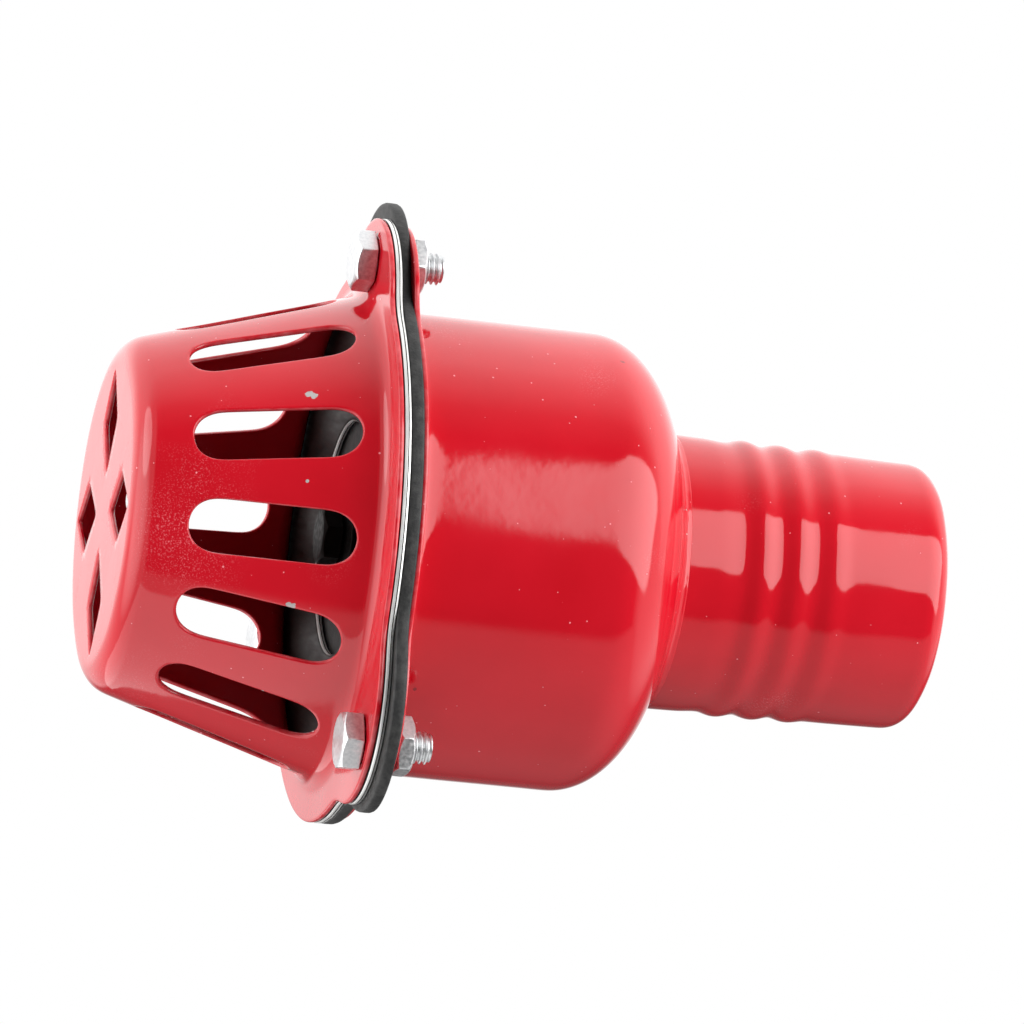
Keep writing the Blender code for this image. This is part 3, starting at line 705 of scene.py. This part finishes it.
foot = Vector((NECK_R + WELD_LEG, shoulder_z(NECK_R + WELD_LEG) + 0.04 * MM))
corner = Vector((TAIL_ROOT_R + 0.2 * MM, MOUTH_Z + 0.1 * MM))
head = Vector((TAIL_ROOT_R + 0.03 * MM, MOUTH_Z + WELD_LEG))
weld_rows = [foot.lerp(corner, i / 8).lerp(corner.lerp(head, i / 8), i / 8) for i in range(9)]
weld_rows += [
    head - Vector((0.6 * MM, 0.2 * MM)),
    Vector((TAIL_ROOT_R - 0.6 * MM, foot.y - 0.5 * MM)),
    foot - Vector((0.2 * MM, 0.6 * MM)),
]
weld_bm = turned([tuple(r) for r in weld_rows], 300, closed=True)
faces_out(weld_bm, closed=True)
ripple(weld_bm, height=0.05 * MM, length=1.6 * MM)
piece("weld_seam", weld_bm, RED, "weld_bead")

# %% [markdown]
# Between the flanges lie a steel plate and a rubber gasket. The gasket's ears were cut by hand, larger
# than the flanges' and one of them well off its bolt. The flap is a disc of the same rubber over the
# plate's port. Gasket and flap reach for each other with a tongue, which is a stretch of their edge drawn
# out to the line where the rubber bends. The bolts pull the layers together, so only a hair's gap is left.

# %% Plate, gasket and flap
HINGE_X, HINGE_SLIT, TONGUE_HALF, GASKET_IN = 32.0 * MM, 0.15 * MM, 10.0 * MM, 40.1 * MM
FLAP_R = 25.9 * MM
RUBBER_EARS = (69, 181, 308)
EARS_OUT, RUBBER_GAP, PLATE_GAP = 2.8 * MM, 0.03 * MM, 0.12 * MM
PLATE_THICK = PLATE_Z[1] - STRAINER_TOP - PLATE_GAP
GASKET_THICK = BELL_Z0 - PLATE_Z[1] - 2 * RUBBER_GAP
FLAP_THICK = RUBBER_Z[1] - RUBBER_Z[0]


def faces_up(bm):
    bmesh.ops.recalc_face_normals(bm, faces=bm.faces)
    if sum(f.normal.z for f in bm.faces) < 0:
        bmesh.ops.reverse_faces(bm, faces=bm.faces)


def draw_tongue(bm, radius, to_x):
    def on_root(vert):
        return vert.co.x > 0 and abs(vert.co.y) <= TONGUE_HALF and abs(vert.co.xy.length - radius) < 0.1 * MM

    root = [e for e in bm.edges if e.is_boundary and all(on_root(v) for v in e.verts)]
    drawn = bmesh.ops.extrude_edge_only(bm, edges=root)["geom"]
    for vert in (g for g in drawn if isinstance(g, bmesh.types.BMVert)):
        vert.co.x = to_x


plate_bm = turned([(PORT_R + i * 2 * MM, PLATE_Z[1]) for i in range(9)], 180)
spread_flange(plate_bm, 0, 8, PORT_R)
drill_bolt_holes(plate_bm, HOLE_R)
faces_up(plate_bm)
tight_edges(plate_bm, 0.2 * MM)
piece("seat_plate_sheet", plate_bm, STEEL_PAINTED_DARK_AS_SHADE, "seat_plate", thick=PLATE_THICK)

gasket_bm = turned([(GASKET_IN + i * 2 * MM, BELL_Z0 - RUBBER_GAP) for i in range(6)], 180)
spread_flange(gasket_bm, 0, 5, GASKET_IN, ear_out=EARS_OUT, ear_turns=RUBBER_EARS)
drill_bolt_holes(gasket_bm, HOLE_R)
draw_tongue(gasket_bm, GASKET_IN, HINGE_X + HINGE_SLIT)
faces_up(gasket_bm)
tight_edges(gasket_bm, 0.25 * MM)
piece("gasket_sheet", gasket_bm, RUBBER, "gasket", thick=GASKET_THICK)

flap_bm = turned([(HOLE_R + (FLAP_R - HOLE_R) * i / 8, RUBBER_Z[1]) for i in range(9)], 96)
draw_tongue(flap_bm, FLAP_R, HINGE_X - HINGE_SLIT)
faces_up(flap_bm)
tight_edges(flap_bm, 0.25 * MM)
piece("flap_sheet", flap_bm, RUBBER, "flap", thick=FLAP_THICK, body="clack")

# %% [markdown]
# A steel disc on the flap shuts it by its weight, and a smaller one under it spreads the screw's load.
# Both are a rectangle spun about the axis, with the turned edges rounded by a bevel.

# %% Flap discs
for name, node in (("flap_weight_disc", "flap_weight"), ("flap_washer_disc", "flap_washer")):
    low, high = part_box(node)
    reach = (high.x - low.x) / 2
    section = [(r, low.z) for r in (HOLE_R, reach / 2, reach)]
    section += [(r, high.z) for r in (reach, reach / 2, HOLE_R)]
    disc_bm = turned(section, 120, closed=True)
    faces_out(disc_bm, closed=True)
    eased(disc_bm, 0.3 * MM)
    piece(name, disc_bm, BLACK_AS_PAINTED_SHADE, node, smooth=0, body="clack")

# %% [markdown]
# The bolts are ordinary M6 hexagon bolts. A head starts as a spun disc, and its side rows are moved out
# to the hexagon. The turned chamfer is a cone, so its edge is lower at the corners than at the flats,
# which gives the curved arcs of a real head. The thread is a zigzag that climbs one pitch as it is spun
# round, so that each turn joins the next, and two flat cuts give it its ends.

# %% Fastener helpers
HEX_HALF, FACE_R, CHAMFER = 5.0 * MM, 4.6 * MM, math.tan(math.radians(30))
PITCH, THREAD_ROOT_R, THREAD_DEPTH = 1.0 * MM, 2.38 * MM, 0.58 * MM
FLANK = (0.0, 0.0, 0.2, 0.6, 1.0, 1.0, 0.6, 0.2)  # one turn of thread, from root to crest and back


def to_hexagon(bm, centre, turn, rows):
    """Turns the disc to its angle and moves rows to the hexagon. rows: number to height and chamfer."""
    row = bm.verts.layers.int["row"]
    bmesh.ops.rotate(bm, verts=bm.verts, cent=(*centre, 0.0), matrix=Matrix.Rotation(turn, 3, "Z"))
    for vert in bm.verts:
        if vert[row] in rows:
            height, slope = rows[vert[row]]
            out = vert.co - Vector((*centre, 0.0))
            off = (math.atan2(out.y, out.x) - turn + math.pi / 6) % (math.pi / 3) - math.pi / 6
            reach = HEX_HALF / math.cos(math.pi / 6 - abs(off))
            flat = out.xy.normalized() * reach
            vert.co = Vector((centre[0] + flat.x, centre[1] + flat.y, height + slope * (reach - FACE_R)))


def threaded_rod(centre, low, end):
    count = int((end - low) / PITCH * len(FLANK)) + 3 * len(FLANK)
    zigzag = []
    for i in range(count):
        out = THREAD_ROOT_R + THREAD_DEPTH * FLANK[i % len(FLANK)]
        zigzag.append((out, low + (i / len(FLANK) - 1.5) * PITCH))
    bm = turned(zigzag, 48, centre, climb=PITCH)
    for vert in bm.verts:
        out = vert.co.xy - Vector(centre)
        limit = THREAD_ROOT_R + min(THREAD_DEPTH, max(0.1 * MM, end - vert.co.z))
        flat = out.normalized() * min(out.length, limit)
        vert.co = Vector((centre[0] + flat.x, centre[1] + flat.y, vert.co.z))
    for height, side in ((low, -1), (end, 1)):
        whole = bm.verts[:] + bm.edges[:] + bm.faces[:]
        cut = bmesh.ops.bisect_plane(
            bm, geom=whole, plane_co=(0, 0, height), plane_no=(0, 0, side), clear_outer=True
        )
        rim = [g for g in cut["geom_cut"] if isinstance(g, bmesh.types.BMEdge)]
        bmesh.ops.edgeloop_fill(bm, edges=rim)
    return bm


def hex_bolt(name, node, centre, turn, face_z, seat_z, thread_z, end_z, material, slot, body="housing"):
    collar_z, collar_r, shank_r = seat_z - 0.25 * MM, 4.7 * MM, 2.9 * MM
    section = [(r, face_z) for r in (0.0, 3.0 * MM, FACE_R, HEX_HALF)]
    section += [(HEX_HALF, collar_z), (collar_r, collar_z), (collar_r, seat_z)]
    section += [(shank_r, seat_z), (shank_r, thread_z), (0.0, thread_z)]
    bm = turned(section, 96, centre)
    to_hexagon(bm, centre, turn, {3: (face_z, CHAMFER), 4: (collar_z, 0.0)})
    faces_out(bm, closed=True)
    eased(bm, 0.12 * MM)
    rod = threaded_rod(centre, thread_z, end_z)
    faces_out(rod, closed=True)
    carrier = bpy.data.meshes.new("carrier")
    rod.to_mesh(carrier)
    rod.free()
    bm.from_mesh(carrier)
    bpy.data.meshes.remove(carrier)
    piece(name, bm, material, node, smooth=0, body=body)


def hex_nut(name, node, centre, turn, low_z, high_z, material, slot, body="housing"):
    bore_r, mouth_r, sink = 3.02 * MM, 3.4 * MM, 0.35 * MM
    section = [(bore_r, low_z + sink), (mouth_r, low_z), (FACE_R, low_z), (HEX_HALF, low_z)]
    section += [(HEX_HALF, high_z), (FACE_R, high_z), (mouth_r, high_z), (bore_r, high_z - sink)]
    bm = turned(section, 96, centre, closed=True)
    to_hexagon(bm, centre, turn, {3: (low_z, CHAMFER), 4: (high_z, -CHAMFER)})
    faces_out(bm, closed=True)
    eased(bm, 0.12 * MM)
    piece(name, bm, material, node, smooth=0, body=body)


print("thread depth", round(THREAD_DEPTH * 1000, 2), "mm")

# %% [markdown]
# Three bolts hold the flanges together, and one screw holds the flap between its discs. Their ends and
# their nuts' heights come from the frame. Each head and nut was left at a turn of its own.

# %% Bolts, nuts and the flap's screw
HEAD_TURNS, NUT_TURNS = (33, 0, 16), (47, 22, 4)  # degrees that each was left turned at
HEAD_GAP, DISC_GAP, IN_NUT = 0.1 * MM, 0.3 * MM, 1.0 * MM
for index in range(3):
    spot = bolt_place(index).xy
    head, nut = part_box(f"bolt_{index + 1}"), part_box(f"nut_{index + 1}")
    head_turn = math.radians(EAR_TURNS[index] + HEAD_TURNS[index])
    nut_turn = math.radians(EAR_TURNS[index] + NUT_TURNS[index])
    heights = (head[0].z, STRAINER_TOP - SHEET - HEAD_GAP, nut[0].z + IN_NUT, head[1].z)
    hex_bolt(f"hex_bolt_{index + 1}", f"bolt_{index + 1}", spot, head_turn, *heights, ZINC, "zinc")
    heights = (nut[0].z, nut[1].z)
    hex_nut(f"hex_nut_{index + 1}", f"nut_{index + 1}", spot, nut_turn, *heights, ZINC, "zinc")

screw, nut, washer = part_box("flap_screw"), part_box("flap_nut"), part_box("flap_washer")
middle = (0.0, 0.0)
heights = (screw[0].z, washer[0].z - DISC_GAP, nut[0].z + IN_NUT, screw[1].z)
hex_bolt("flap_hex_screw", "flap_screw", middle, 0.2, *heights, BLACK_AS_PAINTED_SHADE, "plate_steel", "clack")
heights = (nut[0].z, nut[1].z)
hex_nut("flap_hex_nut", "flap_nut", middle, 0.5, *heights, BLACK_AS_PAINTED_SHADE, "plate_steel", "clack")

# %% [markdown]
# The camera stands where the photographer's did: far off with a long lens, level with the middle of the
# valve and a little to the strainer's side, and rolled so that the valve lies across the picture.

# %% Camera
camera = bpy.data.objects.new("camera", bpy.data.cameras.new("camera"))
bpy.context.scene.collection.objects.link(camera)
camera.data.sensor_width, camera.data.lens = 36.0, 246.1
right = Vector((-0.10643, -0.22382, 0.96880))
up = Vector((-0.99432, 0.02396, -0.10370))
back = Vector((0.0, -0.97434, -0.22510))
camera.matrix_world = Matrix((right, up, back)).transposed().to_4x4()
camera.location = Vector((-8.10, -1273.89, -217.25)) * MM
bpy.context.scene.camera = camera
print("camera at", [round(v, 3) for v in camera.location])

# %% [markdown]
# Soft studio light. Four lamps stand near the valve: one beyond the strainer picks out its rounded corner,
# a bright panel on the table shows in the strainer's cone alone, and two fills lift the strainer's end and
# the tail. The fills are hidden from reflections, so that the enamel doesn't show them as spots.

# %% Lamps
def softbox(name, shape, place, aim, size, power):
    lamp = bpy.data.lights.new(name, "AREA")
    lamp.shape, lamp.energy = shape, power
    lamp.size, lamp.size_y = size
    made = bpy.data.objects.new(name, lamp)
    bpy.context.scene.collection.objects.link(made)
    made.location = place
    made.rotation_euler = (Vector(aim) - Vector(place)).to_track_quat("-Z", "Y").to_euler()
    return made


softbox("cup_softbox", "DISK", (-0.38, -0.06, -0.60), (0, 0, 0.05), (0.42, 0.42), 1.2)
tail_fill = softbox("tail_fill", "DISK", (-0.14, -0.30, 0.40), (0, 0, 0.13), (0.30, 0.30), 0.75)
tail_fill.visible_glossy = False
cup_fill = softbox("cup_fill", "DISK", (0.0, 0.15, -0.60), (0, 0, 0.04), (0.40, 0.40), 0.7)
cup_fill.visible_glossy = False
softbox("table_panel", "RECTANGLE", (0.26, 0.05, -0.14), (0, 0.05, -0.14), (0.60, 0.26), 0.55)
print("lamps ready")

# %% [markdown]
# The world stands for the white tent around the valve. Seen along the valve's axis it is a ring of light,
# so its level is written as a ramp around the axis: dark in front, where the camera looks in, bright above
# and behind, and a dull table below. The tent's two ends and a wall behind the strainer are added to it.

# %% Tent
TENT = (  # degrees around the axis, from behind by way of the table, the camera and the top, and the level
    (-180, 1.3), (-165, 0.15), (-150, 0.1), (-120, 0.45), (-90, 0.7), (-60, 0.75), (-39, 0.65), (-34, 0.08),
    (58, 0.1), (75, 0.4), (90, 1.05), (107, 1.65), (125, 1.65), (150, 1.4), (172, 1.6), (180, 1.3),
)

world = bpy.data.worlds.new("studio")
bpy.context.scene.world = world
world.use_nodes = True
tree = world.node_tree
tree.nodes.clear()
seen = add(tree, "ShaderNodeTexCoord").outputs["Generated"]
facing = add(tree, "ShaderNodeVectorMath", {0: seen, 1: (-1, -1, 1)}, operation="MULTIPLY").outputs[0]
axes = add(tree, "ShaderNodeSeparateXYZ", {0: facing}).outputs
turn = add(tree, "ShaderNodeMath", {0: axes["X"], 1: axes["Y"]}, operation="ARCTAN2").outputs[0]
around = add(tree, "ShaderNodeMapRange", {"Value": turn, "From Min": -math.pi, "From Max": math.pi})
ring = add(tree, "ShaderNodeValToRGB", {"Fac": around.outputs[0]})
stops = ring.color_ramp.elements
for number, (degrees, level) in enumerate(TENT):
    ends = {0: 0, len(TENT) - 1: -1}
    stop = stops[ends[number]] if number in ends else stops.new((degrees + 180) / 360)
    stop.color = (level / 2, level / 2, level / 2, 1.0)

level = add(tree, "ShaderNodeMath", {0: ring.outputs[0], 1: 2.0}, operation="MULTIPLY")
wall_line = add(tree, "ShaderNodeVectorMath", {0: facing, 1: (0, -1, -3)}, operation="DOT_PRODUCT")
for value, low, high, top in (
    (axes["Z"], 0.70, 0.92, 1.2),  # the tent's end beyond the tail
    (axes["Z"], -0.68, -0.98, 3.0),  # its end beyond the strainer
    (wall_line.outputs["Value"], 1.0, 1.35, 0.85),  # the wall behind and beyond the strainer
):
    inputs = {"Value": value, "From Min": low, "From Max": high, "To Max": top}
    side = add(tree, "ShaderNodeMapRange", inputs, interpolation_type="SMOOTHSTEP")
    level = add(tree, "ShaderNodeMath", {0: level.outputs[0], 1: side.outputs[0]}, operation="MAXIMUM")
print("tent with", len(TENT), "levels around the axis")

# %% [markdown]
# The key softbox is drawn into the same world, as a window with round corners: the fourth powers of the
# distances across and along from its middle add up to one at its edge. It is brighter towards the tail.

# %% Key light
KEY_TURN, KEY_HALF, KEY_Z, KEY_LOW, KEY_HIGH = math.radians(32), 0.43, 0.463, 0.25, 0.50
to_key = (math.sin(KEY_TURN), math.cos(KEY_TURN), 0)
aside = (math.cos(KEY_TURN) / KEY_HALF, -math.sin(KEY_TURN) / KEY_HALF, 0)
ahead = add(tree, "ShaderNodeVectorMath", {0: facing, 1: to_key}, operation="DOT_PRODUCT")
across = add(tree, "ShaderNodeVectorMath", {0: facing, 1: aside}, operation="DOT_PRODUCT")
rise = add(tree, "ShaderNodeMath", {0: axes["Z"], 1: KEY_Z}, operation="SUBTRACT")
below = add(tree, "ShaderNodeMath", {0: rise.outputs[0], 1: -KEY_LOW}, operation="DIVIDE")
above = add(tree, "ShaderNodeMath", {0: rise.outputs[0], 1: KEY_HIGH}, operation="DIVIDE")
along = add(tree, "ShaderNodeMath", {0: below.outputs[0], 1: above.outputs[0]}, operation="MAXIMUM")
across = add(tree, "ShaderNodeMath", {0: across.outputs["Value"], 1: 4.0}, operation="POWER")
along = add(tree, "ShaderNodeMath", {0: along.outputs[0], 1: 4.0}, operation="POWER")
inside = add(tree, "ShaderNodeMath", {0: across.outputs[0], 1: along.outputs[0]}, operation="ADD")
inputs = {"Value": inside.outputs[0], "From Min": 1.08, "From Max": 0.84}
window = add(tree, "ShaderNodeMapRange", inputs, interpolation_type="SMOOTHSTEP")
inputs = {"Value": ahead.outputs["Value"], "From Max": 0.05}
front = add(tree, "ShaderNodeMapRange", inputs, interpolation_type="SMOOTHSTEP")
window = add(tree, "ShaderNodeMath", {0: window.outputs[0], 1: front.outputs[0]}, operation="MULTIPLY")
glow = add(tree, "ShaderNodeMath", {0: axes["Z"], 1: 2.4, 2: 3.0}, operation="MULTIPLY_ADD")
key = add(tree, "ShaderNodeMath", {0: window.outputs[0], 1: glow.outputs[0]}, operation="MULTIPLY")
level = add(tree, "ShaderNodeMath", {0: level.outputs[0], 1: key.outputs[0]}, operation="MAXIMUM")
path = add(tree, "ShaderNodeLightPath")
inputs = {"Factor": path.outputs["Is Camera Ray"], 2: level.outputs[0], 3: 1.0}
strength = add(tree, "ShaderNodeMix", inputs, data_type="FLOAT")
sky = add(tree, "ShaderNodeBackground", {"Color": linear("#FFFFFF"), "Strength": strength.outputs[0]})
add(tree, "ShaderNodeOutputWorld", {"Surface": sky.outputs[0]})
print("key light ready")

# %% [markdown]
# The floor is a plain pale sheet under the strainer's end. The camera stands a little below it, so the
# floor shows only from above, and lets all other light through.

# %% Floor
FLOOR_HALF = 3.0
floor_bm = bmesh.new()
bmesh.ops.create_grid(floor_bm, x_segments=1, y_segments=1, size=FLOOR_HALF)
floor_mesh = bpy.data.meshes.new("floor")
floor_bm.to_mesh(floor_mesh)
floor_bm.free()
floor = bpy.data.objects.new("floor", floor_mesh)
bpy.context.scene.collection.objects.link(floor)
paper, tree, shader = new_material("white_paper_sweep")
shader.inputs["Base Color"].default_value = linear("#F4F4F4")
shader.inputs["Roughness"].default_value = 0.9
clear = add(tree, "ShaderNodeBsdfTransparent")
side = add(tree, "ShaderNodeNewGeometry")
path = add(tree, "ShaderNodeLightPath")
inputs = {0: path.outputs["Is Camera Ray"], 1: side.outputs["Backfacing"]}
from_above = add(tree, "ShaderNodeMath", inputs, operation="SUBTRACT", use_clamp=True)
inputs = {0: from_above.outputs[0], 1: clear.outputs[0], 2: shader.outputs[0]}
shown = add(tree, "ShaderNodeMixShader", inputs)
tree.links.new(shown.outputs[0], tree.nodes["Material Output"].inputs["Surface"])
floor_mesh.materials.append(paper)
bpy.context.scene.view_settings.view_transform = "Standard"
print("studio ready")
